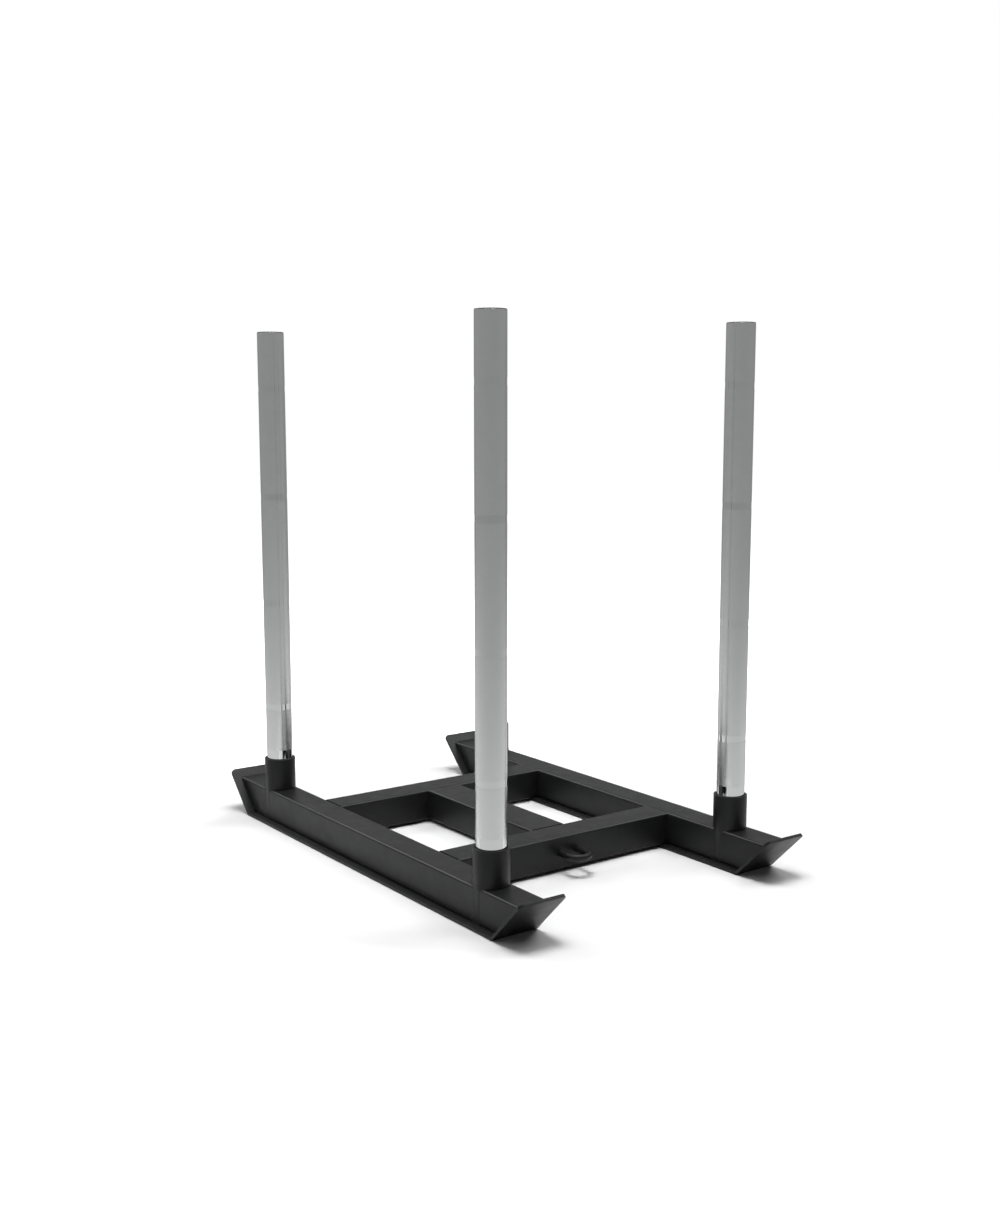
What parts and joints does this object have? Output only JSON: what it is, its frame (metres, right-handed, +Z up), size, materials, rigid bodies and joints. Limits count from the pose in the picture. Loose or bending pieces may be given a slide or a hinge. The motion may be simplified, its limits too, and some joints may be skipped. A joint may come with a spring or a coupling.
{
  "type": "drag sled",
  "caption": "Low welded tube frame on two bent skid plates, with a tow ring and removable knurled push poles at its corners.",
  "frame": {"origin": "on the floor, midway between the skids and midway along them", "axes": "+Z up, +X to the right, -Y the front, where the tow ring is"},
  "size_m": [0.62, 1, 0.96],
  "materials": {
    "frame_coat": "matt black powder coat",
    "pole_metal": "knurled satin chrome with smooth rings",
    "plug_plastic": "matt moulded plastic"
  },
  "bodies": {
    "frame": {"left_skid_plate": "frame_coat", "right_skid_plate": "frame_coat", "left_runner_front": "frame_coat", "left_runner_middle": "frame_coat", "left_runner_rear": "frame_coat", "right_runner_front": "frame_coat", "right_runner_middle": "frame_coat", "right_runner_rear": "frame_coat", "front_cross_member": "frame_coat", "rear_cross_member": "frame_coat", "centre_beam": "frame_coat", "tow_ring": "frame_coat", "front_left_sleeve": "frame_coat", "front_right_sleeve": "frame_coat", "rear_left_sleeve": "frame_coat", "rear_right_sleeve": "frame_coat"},
    "front_left_pole": {"front_left_pole": "pole_metal", "front_left_pole_cap": "plug_plastic", "front_left_pole_foot": "plug_plastic"},
    "front_right_pole": {"front_right_pole": "pole_metal", "front_right_pole_cap": "plug_plastic", "front_right_pole_foot": "plug_plastic"},
    "rear_left_pole": {"rear_left_pole": "pole_metal", "rear_left_pole_cap": "plug_plastic", "rear_left_pole_foot": "plug_plastic"},
    "rear_right_pole": {"rear_right_pole": "pole_metal", "rear_right_pole_cap": "plug_plastic", "rear_right_pole_foot": "plug_plastic"}
  },
  "joints": [
    {"name": "front_left_pole_lift", "type": "slide", "parent": "frame", "child": "front_left_pole", "axis": [0, 0, 1], "range_m": [0, 0.15]},
    {"name": "front_right_pole_lift", "type": "slide", "parent": "frame", "child": "front_right_pole", "axis": [0, 0, 1], "range_m": [0, 0.15]},
    {"name": "rear_left_pole_lift", "type": "slide", "parent": "frame", "child": "rear_left_pole", "axis": [0, 0, 1], "range_m": [0, 0.15]},
    {"name": "rear_right_pole_lift", "type": "slide", "parent": "frame", "child": "rear_right_pole", "axis": [0, 0, 1], "range_m": [0, 0.15]}
  ]
}
